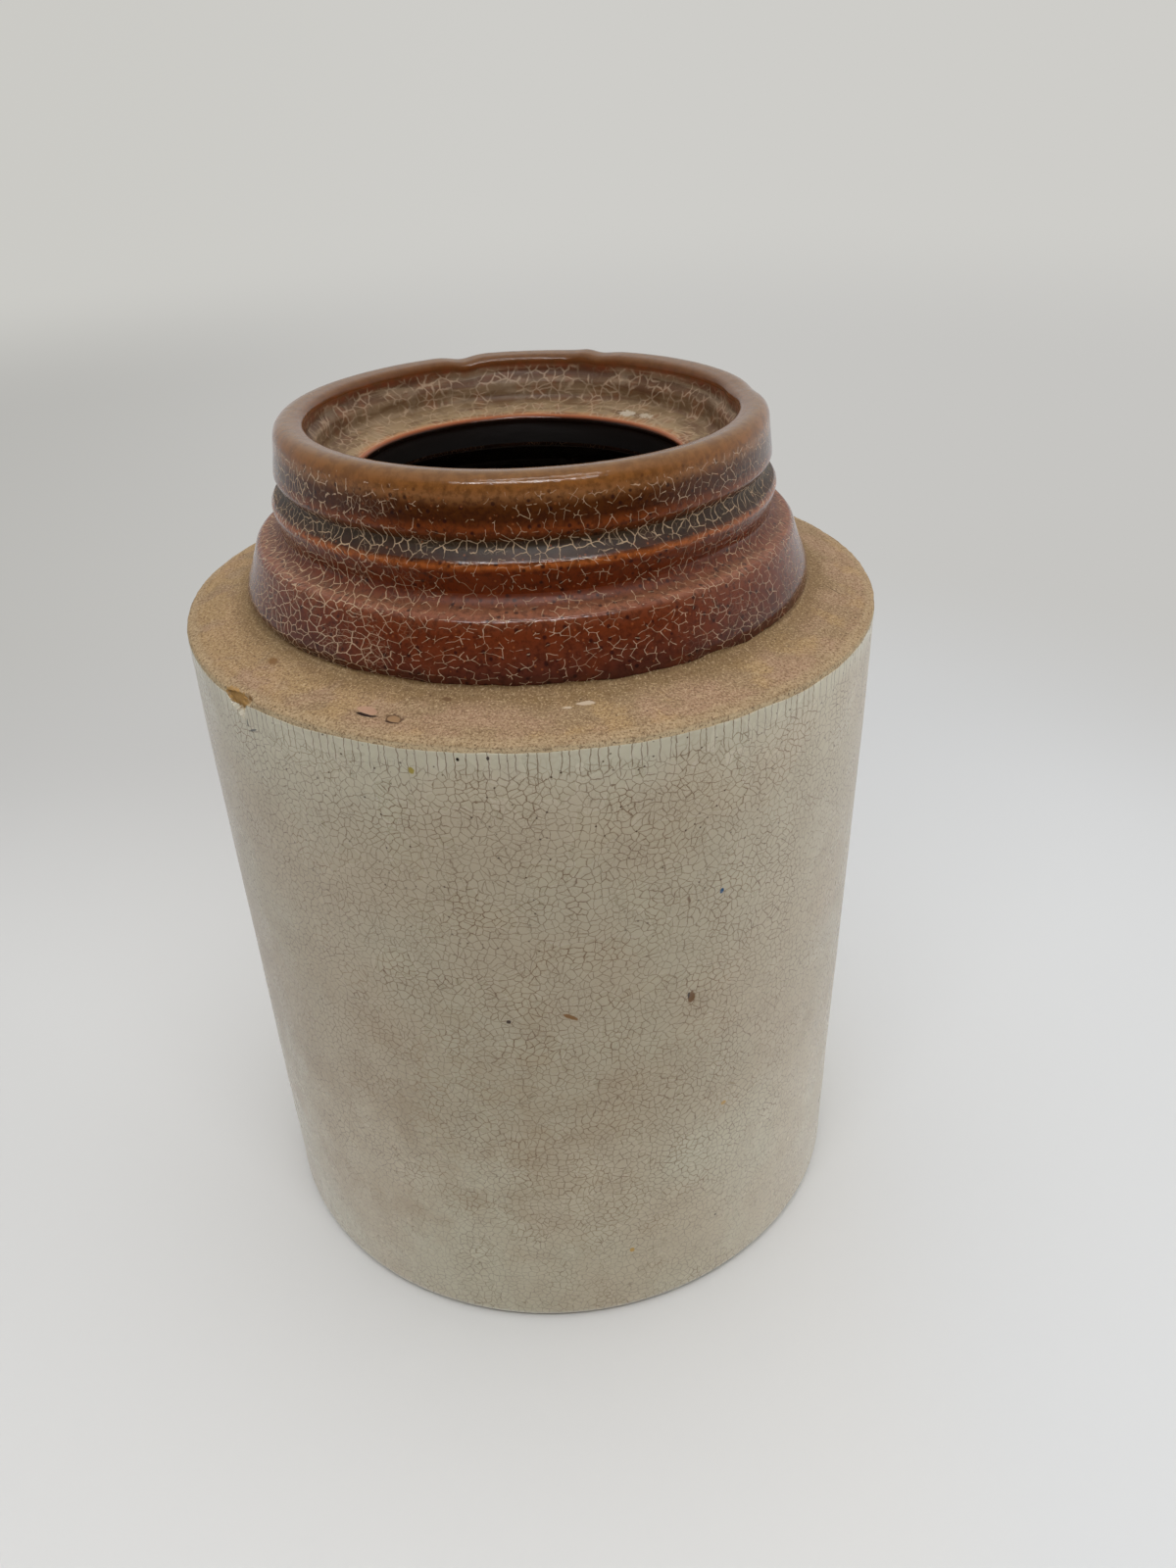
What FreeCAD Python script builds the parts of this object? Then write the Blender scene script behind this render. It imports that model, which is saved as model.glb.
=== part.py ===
"""A stoneware crock fermenter: a thrown jar with a stepped mouth, three glaze coats, two weight stones.

Millimetres, +Z up, origin at the centre of the base. The jar is a body of revolution. Its finished
form is one revolved outline. Moving that form's surface inwards by the coat thickness gives the clay
under the glaze, and the shell between the two is shared out among the three coats. Whatever is left
unglazed, the base, the shoulder and its edge, is bare clay out to the finished surface.
"""
import FreeCAD, Part

import math
import os

import Sketcher

Vector = FreeCAD.Vector

# Driving dimensions: cell alias, value in mm, what it is.
SIZES = [
    ("shoulder_height", 213.6, "height of the shoulder above the base, halfway across its slope"),
    ("coat", 0.8, "thickness of a glaze coat"),
    ("foot_bare", 1.6, "height above the base where the wall glaze ends"),
    ("edge_bare", 4.2, "drop below the shoulder where the wall glaze ends"),
    ("neck_bare", 2.7, "rise above the shoulder where the neck glaze ends"),
    ("throat_split", 27.0, "rise above the shoulder where neck glaze meets lining, in the throat"),
    ("lining_top_radius", 69.0, "reach of the lining inside the neck"),
    ("lining_step", 2.4, "drop below the shoulder where that reach begins"),
    ("lining_radius", 94.5, "reach of the lining inside the wall, short of the outer glaze"),
    ("outside_radius", 120.0, "a radius that clears the whole jar"),
    ("stone_radius", 82.0, "round side of a weight stone"),
    ("stone_thickness", 18.0, "thickness of a weight stone"),
    ("stone_round", 3.0, "rounded edges of a weight stone"),
    ("stone_gap", 4.0, "gap between the two stones' straight sides"),
    ("notch_radius", 14.0, "finger notch in a stone's straight side"),
    ("notch_round", 3.0, "rounded ends of the finger notch"),
]

# The outline of the finished jar, from the axis under the base round to the axis on the inner floor:
# corner name, radius, rise, level that the rise is counted from, rounding radius (0 is a sharp corner).
BASE = "base"
SHOULDER = "shoulder"
OUTLINE = [
    ("base_centre", 0.0, 0.0, BASE, 0.0),
    ("foot", 97.7, 0.0, BASE, 4.0),
    ("wall", 100.1, 182.0, BASE, 90.0),
    ("shoulder_edge", 99.9, -2.0, SHOULDER, 1.2),
    ("neck_foot", 80.3, 1.8, SHOULDER, 0.8),
    ("bulge", 81.1, 5.7, SHOULDER, 3.0),
    ("bulge_top", 76.6, 18.4, SHOULDER, 2.5),
    ("waist", 69.4, 20.2, SHOULDER, 3.2),
    ("ridge", 71.4, 29.3, SHOULDER, 1.6),
    ("groove", 68.0, 33.8, SHOULDER, 1.6),
    ("band_foot", 69.8, 37.2, SHOULDER, 1.4),
    ("lip_outside", 68.2, 51.2, SHOULDER, 4.0),
    ("lip_inside", 60.0, 49.9, SHOULDER, 2.0),
    ("upper_ring_hollow", 60.1, 45.0, SHOULDER, 1.6),
    ("ring", 58.0, 42.6, SHOULDER, 1.6),
    ("seat_corner", 57.4, 37.6, SHOULDER, 2.0),
    ("throat_lip", 46.6, 34.6, SHOULDER, 1.5),
    ("throat_foot", 46.6, 25.0, SHOULDER, 2.0),
    ("neck_chamber", 62.0, 17.0, SHOULDER, 6.0),
    ("neck_root", 70.0, -9.5, SHOULDER, 6.0),
    ("chamber_top", 91.6, -11.0, SHOULDER, 10.0),
    ("floor_corner", 89.6, 12.5, BASE, 7.0),
    ("floor_centre", 0.0, 12.5, BASE, 0.0),
]


def fill_sheet(doc):
    """Writes the driving dimensions and the outline's corners into the sheet, one alias a cell."""
    sheet = doc.addObject("Spreadsheet::Sheet", "Sizes")
    rows = [(alias, value) for alias, value, _ in SIZES]
    for name, radius, rise, _, rounding in OUTLINE:
        rows += [(name + "_radius", radius), (name + "_rise", rise)]
        if rounding:
            rows.append((name + "_round", rounding))
    for line, (alias, value) in enumerate(rows, start=1):
        sheet.set(f"A{line}", alias)
        sheet.set(f"B{line}", str(value))
        sheet.setAlias(f"B{line}", alias)
    doc.recompute()
    return sheet


def origin_plane(body, role):
    """The body's own origin plane with this role."""
    return next(item for item in body.Origin.OriginFeatures if item.Role == role)


def new_sketch(body, name, role):
    """A sketch lying on one of the body's own origin planes."""
    sketch = body.newObject("Sketcher::SketchObject", name)
    sketch.AttachmentSupport = [(origin_plane(body, role), "")]
    sketch.MapMode = "FlatFace"
    return sketch


def tangent_points(before, corner, after, radius):
    """Where an arc of this radius leaves the two straight runs at a corner, and the arc's centre."""
    back = (before - corner).normalize()
    ahead = (after - corner).normalize()
    half_angle = back.getAngle(ahead) / 2
    reach = radius / math.tan(half_angle)
    to_centre = (back + ahead).normalize()
    centre = corner + to_centre * (radius / math.sin(half_angle))
    return corner + back * reach, corner + ahead * reach, centre


def corner_arc(start, end, centre, radius):
    """The short arc between two tangent points, drawn the way a sketch keeps it: anticlockwise."""
    middle = centre + ((start + end) / 2 - centre).normalize() * radius
    anticlockwise = (start - centre).cross(end - centre).z > 0
    first, last = (start, end) if anticlockwise else (end, start)
    arc = Part.Arc(first, middle, last)
    return arc, anticlockwise


def draw_outline(sketch, corners):
    """Draws straight runs joined by tangent arcs, every corner's place and rounding tied to the sheet.

    corners: (x, y, rounding, x expression, y expression, rounding expression) in the sketch's plane.
    """
    points = [Vector(x, y, 0) for x, y, *_ in corners]
    count = len(points)
    entry, leave, arcs = {}, {}, {}
    for i, (_, _, rounding, *_) in enumerate(corners):
        entry[i] = leave[i] = points[i]
        if rounding:
            following = points[(i + 1) % count]
            entry[i], leave[i], centre = tangent_points(points[i - 1], points[i], following, rounding)
            arc, anticlockwise = corner_arc(entry[i], leave[i], centre, rounding)
            arcs[i] = (sketch.addGeometry(arc), anticlockwise)
    runs = [Part.LineSegment(leave[i], entry[(i + 1) % count]) for i in range(count)]
    lines = [sketch.addGeometry(run) for run in runs]
    marks = {i: sketch.addGeometry(Part.Point(points[i]), True) for i in arcs}

    ties = []
    bound = []
    for i, (x, y, rounding, x_text, y_text, round_text) in enumerate(corners):
        line_in, line_out = lines[i - 1], lines[i]
        if i in arcs:
            arc, anticlockwise = arcs[i]
            first, last = (1, 2) if anticlockwise else (2, 1)
            ties.append(Sketcher.Constraint("Tangent", line_in, 2, arc, first))
            ties.append(Sketcher.Constraint("Tangent", line_out, 1, arc, last))
            ties.append(Sketcher.Constraint("PointOnObject", marks[i], 1, line_in))
            ties.append(Sketcher.Constraint("PointOnObject", marks[i], 1, line_out))
            place = (marks[i], 1)
            bound.append((Sketcher.Constraint("Radius", arc, rounding), round_text))
        else:
            ties.append(Sketcher.Constraint("Coincident", line_in, 2, line_out, 1))
            place = (line_out, 1)
        if x_text is None:
            ties.append(Sketcher.Constraint("PointOnObject", *place, -2))
        else:
            bound.append((Sketcher.Constraint("DistanceX", -1, 1, *place, x), x_text))
        if y_text is None:
            ties.append(Sketcher.Constraint("PointOnObject", *place, -1))
        else:
            bound.append((Sketcher.Constraint("DistanceY", -1, 1, *place, y), y_text))
    sketch.addConstraint(ties + [constraint for constraint, _ in bound])
    for index, (_, text) in enumerate(bound, start=len(ties)):
        sketch.setExpression(f"Constraints[{index}]", text)


def jar_corners(sheet):
    """The jar's outline as corners for draw_outline."""
    corners = []
    for name, radius, rise, level, rounding in OUTLINE:
        height = rise
        height_text = f"Sizes.{name}_rise"
        if level == SHOULDER:
            height += sheet.shoulder_height
            height_text += " + Sizes.shoulder_height"
        radius_text = f"Sizes.{name}_radius" if radius else None
        height_text = height_text if height else None
        corners.append((radius, height, rounding, radius_text, height_text, f"Sizes.{name}_round"))
    return corners


def make_finished_form(doc, sheet):
    """The jar with its glaze on: one outline turned about the vertical axis."""
    body = doc.addObject("PartDesign::Body", "FinishedForm")
    sketch = new_sketch(body, "JarOutline", "XZ_Plane")
    draw_outline(sketch, jar_corners(sheet))
    turned = body.newObject("PartDesign::Revolution", "Turned")
    turned.Profile = sketch
    turned.ReferenceAxis = (sketch, ["V_Axis"])
    turned.Angle = 360
    sketch.Visibility = False
    doc.recompute()
    return body


def make_clay_under_glaze(doc, form):
    """The same form with its whole surface moved in by one coat."""
    core = doc.addObject("Part::Offset", "ClayUnderGlaze")
    core.Source = form
    core.Mode = "Skin"
    core.Join = "Intersection"
    core.setExpression("Value", "-Sizes.coat")
    return core


def make_cut(doc, name, base, tool):
    """What is left of the base once the tool is taken away."""
    cut = doc.addObject("Part::Cut", name)
    cut.Base = base
    cut.Tool = tool
    return cut


def make_common(doc, name, base, tool):
    """What the two share."""
    common = doc.addObject("Part::Common", name)
    common.Base = base
    common.Tool = tool
    return common


def make_disc(doc, name, radius, low, high):
    """An upright cylinder on the axis, from one height to another, all three given as expressions."""
    disc = doc.addObject("Part::Cylinder", name)
    disc.setExpression("Radius", radius)
    disc.setExpression("Height", f"({high}) - ({low})")
    disc.setExpression("Placement.Base.z", low)
    return disc


def make_jar(doc, sheet):
    """The clay and its three coats, from one finished form, so that they meet face to face."""
    form = make_finished_form(doc, sheet)
    shell = make_cut(doc, "GlazeShell", form, make_clay_under_glaze(doc, form))

    shoulder = "Sizes.shoulder_height"
    below_neck = f"{shoulder} - Sizes.lining_step"
    split = f"{shoulder} + Sizes.throat_split"
    top = f"{shoulder} + Sizes.outside_radius"
    in_floor = "Sizes.floor_centre_rise / 2"
    lower = make_disc(doc, "LiningZoneLow", "Sizes.lining_radius", in_floor, below_neck)
    upper = make_disc(doc, "LiningZoneHigh", "Sizes.lining_top_radius", below_neck, split)
    lining_zone = doc.addObject("Part::MultiFuse", "LiningZone")
    lining_zone.Shapes = [lower, upper]

    neck_disc = make_disc(
        doc, "NeckZoneDisc", "Sizes.outside_radius", f"{shoulder} + Sizes.neck_bare", top)
    neck_zone = make_cut(doc, "NeckZone", neck_disc, lining_zone)

    wall_disc = make_disc(
        doc, "WallZoneDisc", "Sizes.outside_radius", "Sizes.foot_bare", f"{shoulder} - Sizes.edge_bare")
    wall_zone = make_cut(doc, "WallZone", wall_disc, lower)

    coats = [
        make_common(doc, "wall_glaze", shell, wall_zone),
        make_common(doc, "neck_glaze", shell, neck_zone),
        make_common(doc, "liner_glaze", shell, lining_zone),
    ]
    all_coats = doc.addObject("Part::MultiFuse", "AllCoats")
    all_coats.Shapes = coats
    clay = make_cut(doc, "clay_body", form, all_coats)
    return [clay] + coats


def make_stone(doc, sheet, name, turn):
    """One half-moon weight stone, lying flat on the inner floor, turned about the vertical axis."""
    body = doc.addObject("PartDesign::Body", name)
    sketch = new_sketch(body, name + "_outline", "XY_Plane")
    radius = sheet.stone_radius
    side = sheet.stone_gap / 2
    notch = sheet.notch_radius
    half_chord = math.sqrt(radius**2 - side**2)
    half_notch = math.sqrt(notch**2 - side**2)
    origin = Vector(0, 0, 0)
    up = Vector(0, 0, 1)
    rim_start = math.asin(side / radius)
    notch_start = math.asin(side / notch)
    rim_arc = Part.ArcOfCircle(Part.Circle(origin, up, radius), rim_start, math.pi - rim_start)
    notch_arc = Part.ArcOfCircle(Part.Circle(origin, up, notch), notch_start, math.pi - notch_start)
    left_side = Part.LineSegment(Vector(-half_chord, side, 0), Vector(-half_notch, side, 0))
    right_side = Part.LineSegment(Vector(half_notch, side, 0), Vector(half_chord, side, 0))
    rim, hollow, left, right = (
        sketch.addGeometry(curve) for curve in (rim_arc, notch_arc, left_side, right_side))
    sketch.addConstraint([
        Sketcher.Constraint("Coincident", rim, 3, -1, 1),
        Sketcher.Constraint("Coincident", hollow, 3, -1, 1),
        Sketcher.Constraint("Coincident", rim, 2, left, 1),
        Sketcher.Constraint("Coincident", left, 2, hollow, 2),
        Sketcher.Constraint("Coincident", hollow, 1, right, 1),
        Sketcher.Constraint("Coincident", right, 2, rim, 1),
        Sketcher.Constraint("Horizontal", left),
        Sketcher.Constraint("Horizontal", right),
        Sketcher.Constraint("Equal", left, right),
        Sketcher.Constraint("DistanceY", -1, 1, left, 1, side),
        Sketcher.Constraint("Radius", rim, radius),
        Sketcher.Constraint("Radius", hollow, notch),
    ])
    measures = ["Sizes.stone_gap / 2", "Sizes.stone_radius", "Sizes.notch_radius"]
    for index, text in enumerate(measures, start=sketch.ConstraintCount - len(measures)):
        sketch.setExpression(f"Constraints[{index}]", text)
    slab = body.newObject("PartDesign::Pad", name + "_slab")
    slab.Profile = sketch
    slab.setExpression("Length", "Sizes.stone_thickness")
    sketch.Visibility = False
    doc.recompute()

    upright = [f"Edge{n}" for n, edge in enumerate(slab.Shape.Edges, start=1) if is_upright(edge)]
    posts = body.newObject("PartDesign::Fillet", name + "_posts")
    posts.Base = (slab, upright)
    posts.setExpression("Radius", "Sizes.notch_round")
    doc.recompute()

    flat = [f"Edge{n}" for n, edge in enumerate(posts.Shape.Edges, start=1) if is_level(edge)]
    rounded = body.newObject("PartDesign::Fillet", name + "_rounded")
    rounded.Base = (posts, flat)
    rounded.setExpression("Radius", "Sizes.stone_round")
    body.Placement = FreeCAD.Placement(Vector(0, 0, 0), FreeCAD.Rotation(up, turn))
    body.setExpression("Placement.Base.z", "Sizes.floor_centre_rise")
    doc.recompute()
    return body


def is_upright(edge):
    """True for a straight edge along Z."""
    box = edge.BoundBox
    return box.XLength < 0.01 and box.YLength < 0.01


def is_level(edge):
    """True for an edge that lies at one height."""
    return edge.BoundBox.ZLength < 0.01


def check_document(doc, parts):
    """Stops if any object failed to recompute, or a part's shape is missing, invalid or in pieces."""
    for item in doc.Objects:
        if "Invalid" in item.State or "Error" in item.State:
            raise RuntimeError(f"{item.Name} did not recompute: {item.State}")
    for part in parts:
        shape = part.Shape
        if shape.isNull() or not shape.isValid() or len(shape.Solids) != 1:
            raise RuntimeError(f"{part.Name} is not one valid solid")


def main():
    doc = FreeCAD.newDocument("CrockFermenter")
    sheet = fill_sheet(doc)
    parts = make_jar(doc, sheet)
    parts.append(make_stone(doc, sheet, "weight_stone_front", 180.0))
    parts.append(make_stone(doc, sheet, "weight_stone_back", 0.0))
    for part in parts:
        part.Label = part.Name
    doc.recompute()
    check_document(doc, parts)
    os.makedirs("parts", exist_ok=True)
    for part in parts:
        part.Shape.exportStep(f"parts/{part.Label}.step")
        box = part.Shape.BoundBox
        print(f"{part.Label}: {part.Shape.Volume / 1000:.1f} cm3, x {box.XMin:.2f}..{box.XMax:.2f},"
              f" z {box.ZMin:.2f}..{box.ZMax:.2f}")


main()
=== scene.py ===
"""The looks of the crock fermenter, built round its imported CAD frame.

The jar is one turned outline, as in the CAD model, drawn again here with the unevenness of a thrown and
fired pot: dents in the rim, turning marks, chips, and glaze that ends in a wavering edge. Every skin of
it, the clay and the three glaze coats, is cut from that one uneven surface. Lengths in the tables below
are millimetres and angles are degrees; azimuth 0 is +X and -90 is the front, -Y. Meshes are in metres.
"""

import math

import bpy
import numpy as np
from mathutils import Matrix, Vector


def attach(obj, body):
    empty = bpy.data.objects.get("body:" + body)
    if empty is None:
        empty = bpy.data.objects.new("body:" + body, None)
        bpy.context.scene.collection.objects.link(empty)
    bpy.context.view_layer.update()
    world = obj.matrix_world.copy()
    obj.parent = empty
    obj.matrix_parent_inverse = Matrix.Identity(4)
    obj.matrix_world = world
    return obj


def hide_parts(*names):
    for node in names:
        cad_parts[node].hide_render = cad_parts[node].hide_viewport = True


MM = 0.001
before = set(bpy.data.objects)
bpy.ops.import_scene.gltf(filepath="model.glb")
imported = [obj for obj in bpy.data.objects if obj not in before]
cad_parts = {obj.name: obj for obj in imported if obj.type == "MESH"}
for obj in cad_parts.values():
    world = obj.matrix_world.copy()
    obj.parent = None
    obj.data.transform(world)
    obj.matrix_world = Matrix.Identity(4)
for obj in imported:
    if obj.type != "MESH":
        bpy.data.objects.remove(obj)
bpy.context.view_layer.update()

# ---------------------------------------------------------------- the jar's outline

BASE = 0.0
SHOULDER = 213.6
COAT = 0.8
# how far under the finished surface the rounded edge of a glaze coat starts
EDGE_SINK = 0.3
# corner name, radius, height above its level, level, rounding radius
OUTLINE = [
    ("base_centre", 0.0, 0.0, BASE, 0.0),
    ("foot", 97.7, 0.0, BASE, 4.0),
    ("wall", 100.1, 182.0, BASE, 90.0),
    ("shoulder_edge", 99.9, -2.0, SHOULDER, 1.2),
    ("neck_foot", 80.3, 1.8, SHOULDER, 0.8),
    ("bulge", 81.1, 5.7, SHOULDER, 3.0),
    ("bulge_top", 76.6, 18.4, SHOULDER, 2.5),
    ("waist", 69.4, 20.2, SHOULDER, 3.2),
    ("ridge", 71.4, 29.3, SHOULDER, 1.6),
    ("groove", 68.0, 33.8, SHOULDER, 1.6),
    ("band_foot", 69.8, 37.2, SHOULDER, 1.4),
    ("lip_outside", 68.2, 51.2, SHOULDER, 4.0),
    ("lip_inside", 60.0, 49.9, SHOULDER, 2.0),
    ("upper_ring_hollow", 60.1, 45.0, SHOULDER, 1.6),
    ("ring", 58.0, 42.6, SHOULDER, 1.6),
    ("seat_corner", 57.4, 37.6, SHOULDER, 2.0),
    ("throat_lip", 46.6, 34.6, SHOULDER, 1.5),
    ("throat_foot", 46.6, 25.0, SHOULDER, 2.0),
    ("neck_chamber", 62.0, 17.0, SHOULDER, 6.0),
    ("neck_root", 70.0, -9.5, SHOULDER, 6.0),
    ("chamber_top", 91.6, -11.0, SHOULDER, 10.0),
    ("floor_corner", 89.6, 12.5, BASE, 7.0),
    ("floor_centre", 0.0, 12.5, BASE, 0.0),
]


def unit(vector):
    return vector / np.linalg.norm(vector)


def trace_outline(corners, step=0.25):
    """The outline as close points, and how far along it each corner lies."""
    places = [np.array([radius, rise + level]) for _, radius, rise, level, _ in corners]
    points = []
    at_corner = {}
    for i, (name, *_, rounding) in enumerate(corners):
        if not rounding:
            at_corner[name] = len(points)
            points.append(places[i])
            continue
        back = unit(places[i - 1] - places[i])
        ahead = unit(places[(i + 1) % len(places)] - places[i])
        half_angle = math.acos(np.dot(back, ahead)) / 2
        centre = places[i] + unit(back + ahead) * rounding / math.sin(half_angle)
        start, end = (places[i] + side * rounding / math.tan(half_angle) - centre for side in (back, ahead))
        first = math.atan2(start[1], start[0])
        turn = (math.atan2(end[1], end[0]) - first + math.pi) % (2 * math.pi) - math.pi
        count = max(4, math.ceil(abs(turn) * rounding / step))
        at_corner[name] = len(points) + count // 2
        for angle in np.linspace(first, first + turn, count + 1):
            points.append(centre + rounding * np.array([math.cos(angle), math.sin(angle)]))
    points = np.array(points)
    run = np.concatenate([[0.0], np.cumsum(np.linalg.norm(np.diff(points, axis=0), axis=1))])
    return points, run, {name: run[index] for name, index in at_corner.items()}


POINTS, RUN, AT = trace_outline(OUTLINE)
# the same outline at even steps, with its outward normals
FINE_RUN = np.arange(0.0, RUN[-1], 0.1)
FINE = np.stack([np.interp(FINE_RUN, RUN, POINTS[:, k]) for k in (0, 1)], axis=1)
TANGENT = np.gradient(FINE, axis=0)
NORMAL = np.stack([TANGENT[:, 1], -TANGENT[:, 0]], axis=1)
NORMAL /= np.linalg.norm(NORMAL, axis=1, keepdims=True)


def outline_at(run):
    """Radius, height and outward normal of the outline at these distances along it."""
    return [np.interp(run, FINE_RUN, column) for column in (*FINE.T, *NORMAL.T)]


# ---------------------------------------------------------------- unevenness

def smooth(low, high, value):
    """0 below low, 1 above high, and a smooth step between."""
    t = np.clip((value - low) / (high - low), 0.0, 1.0)
    return t * t * (3.0 - 2.0 * t)


def noise(x, y, z, seed):
    """Smooth noise from -1 to 1 on a unit lattice, the same on every run."""
    cell = [np.floor(v).astype(np.int64) for v in (x, y, z)]
    part = [v - c for v, c in zip((x, y, z), cell)]
    ease = [f * f * (3.0 - 2.0 * f) for f in part]
    total = np.zeros(np.broadcast(x, y, z).shape)
    for corner in range(8):
        bits = [(corner >> k) & 1 for k in range(3)]
        key = seed * 1013904223
        weight = 1.0
        for c, bit, e, prime in zip(cell, bits, ease, (374761393, 668265263, 1274126177)):
            key = key + (c + bit) * prime
            weight = weight * (e if bit else 1.0 - e)
        key = (key ^ (key >> 13)) * 1103515245 & 0xFFFFFFFF
        key = (key ^ (key >> 15)) * 668265263 & 0xFFFFFFFF
        total = total + weight * ((key ^ (key >> 16)) / 0x7FFFFFFF - 1.0)
    return total


def rings(azimuth, run, width, seed, drift=2.0):
    """Noise in thin bands that go round the jar, drifting a little as they go."""
    angle = np.radians(azimuth)
    return noise(drift * np.cos(angle), drift * np.sin(angle), run / width, seed)


def around(azimuth, centre):
    """The angle from centre, the short way round."""
    return (azimuth - centre + 180.0) % 360.0 - 180.0


def spot(azimuth, run, centre, place, width, height, radius):
    """1 in the middle of an oval place on the surface, 0 outside it."""
    across = np.radians(around(azimuth, centre)) * radius / width
    along = (run - place) / height
    return 1.0 - smooth(0.35, 1.0, np.hypot(across, along))


# how far each level of the jar stands off centre, and how much it leans: corner, mm to the right,
# mm to the back, rise per mm to the right, rise per mm to the back
OFF_CENTRE = [
    ("foot", 0.3, 0.0, 0.0, 0.0),
    ("wall", 0.4, 0.0, 0.0, 0.0),
    ("shoulder_edge", 0.4, 0.0, -0.005, 0.006),
    ("neck_foot", 0.6, 0.3, -0.010, 0.0),
    ("bulge", -0.3, 0.8, 0.0, 0.0),
    ("bulge_top", -0.3, 0.9, 0.0, 0.0),
    ("waist", 0.0, 1.0, 0.0, 0.0),
    ("lip_outside", 0.2, 1.0, 0.0, 0.0),
    ("seat_corner", 0.0, 0.6, 0.0, 0.0),
    ("throat_lip", -0.7, 0.0, 0.0, 0.0),
    ("neck_root", 0.0, 0.0, 0.0, 0.0),
]
# dents of the lip: azimuth, half width in degrees, how far the lip drops there, how far it goes in
RIM_DENTS = [
    (106.6, 4.0, 1.0, 0.3),
    (70.0, 3.0, -0.5, 0.0),
    (66.0, 4.0, 0.5, 0.2),
    (6.0, 7.0, 0.3, 0.8),
]
# the piece missing from the shoulder's edge: distance above the edge, azimuths of its two sides
CHIP = [
    (-6.4, -138.8, -138.4),
    (-5.2, -140.0, -138.2),
    (-3.8, -141.6, -138.0),
    (-2.0, -142.6, -137.2),
    (-0.9, -143.0, -135.8),
    (0.0, -140.6, -135.4),
    (0.9, -138.0, -135.9),
]
CHIP_DEPTH = 1.0
CHIP_COLUMNS = np.arange(-147.0, -131.0, 0.25)


def on_shoulder(radius):
    """The distance along the outline to this radius of the shoulder."""
    top = (FINE_RUN > AT["shoulder_edge"]) & (FINE_RUN < AT["neck_foot"])
    return float(np.interp(-radius, -FINE[top, 0], FINE_RUN[top]))


# shallow pits: azimuth, distance along the outline, half width, half height, depth
PITS = [
    (-116.3, on_shoulder(92.0), 3.0, 1.7, 0.6),
    (-111.8, on_shoulder(93.0), 2.4, 1.5, 0.5),
    (-141.5, on_shoulder(87.0), 1.8, 1.2, 0.35),
    (-68.1, 221.8, 1.7, 2.6, 0.5),
    (-87.8, 223.9, 2.6, 1.2, 0.15),
]


def chipped(azimuth, run):
    """1 where the shoulder's edge has lost its piece, 0 elsewhere."""
    place = run - AT["shoulder_edge"]
    rise, left, right = np.array(CHIP).T
    to_side = np.minimum(azimuth - np.interp(place, rise, left), np.interp(place, rise, right) - azimuth)
    above_foot = smooth(rise[0], rise[0] + 0.5, place)
    below_top = smooth(rise[-1], rise[-1] - 0.4, place)
    return smooth(0.0, 0.5, to_side) * above_foot * below_top


def relief(azimuth, run):
    """How far the real surface stands out from the turned outline, in mm."""
    radius, height, _, _ = outline_at(run)
    angle = np.radians(azimuth)
    x, y = radius * np.cos(angle), radius * np.sin(angle)
    edge, foot = AT["shoulder_edge"], AT["neck_foot"]
    outside = 1.0 - smooth(AT["throat_lip"], AT["throat_foot"], run)

    def lumps(size, seed):
        """Noise whose lumps are about size mm across, each way."""
        return noise(x / size, y / size, height / size, seed)

    raised = 0.28 * noise(x / 45, y / 45, height / 60, 1)

    on_wall = smooth(AT["foot"] - 4, AT["foot"] + 6, run) * (1 - smooth(edge - 6, edge, run))
    raised += on_wall * (0.10 * rings(azimuth, run, 14.0, 2) + 0.05 * lumps(9, 3))

    on_edge = np.exp(-((run - edge) / 2.6) ** 2)
    raised += on_edge * (0.12 * lumps(0.9, 4) + 0.16 * lumps(6, 5))

    flat = smooth(edge + 1, edge + 4, run) * (run < foot)
    raised += flat * (
        0.10 * rings(azimuth, run, 1.3, 6)
        + 0.14 * rings(azimuth, run, 4.0, 7, 3.0)
        + 0.05 * noise(x / 1.1, y / 1.1, height, 8)
        + 0.16 * noise(x / 14, y / 14, height, 9))
    raised += 0.14 * np.exp(-((run - edge - 2.6) / 0.4) ** 2)

    on_neck = smooth(foot + 2, AT["bulge"], run) * outside
    raised += on_neck * (0.04 * rings(azimuth, run, 3.0, 10) + 0.03 * lumps(2.5, 11))
    in_mouth = smooth(AT["lip_inside"], AT["upper_ring_hollow"], run) * outside
    raised += in_mouth * 0.16 * rings(azimuth, run, 2.6, 12, 3.0)

    for centre, place, width, tall, depth in PITS:
        ragged = 1.0 + 0.35 * lumps(1.2, 13)
        raised -= depth * spot(azimuth, run, centre, place, width * ragged, tall * ragged, radius)
    broken = 1.0 + 0.3 * lumps(0.8, 14)
    return raised - CHIP_DEPTH * broken * chipped(azimuth, run)


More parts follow.
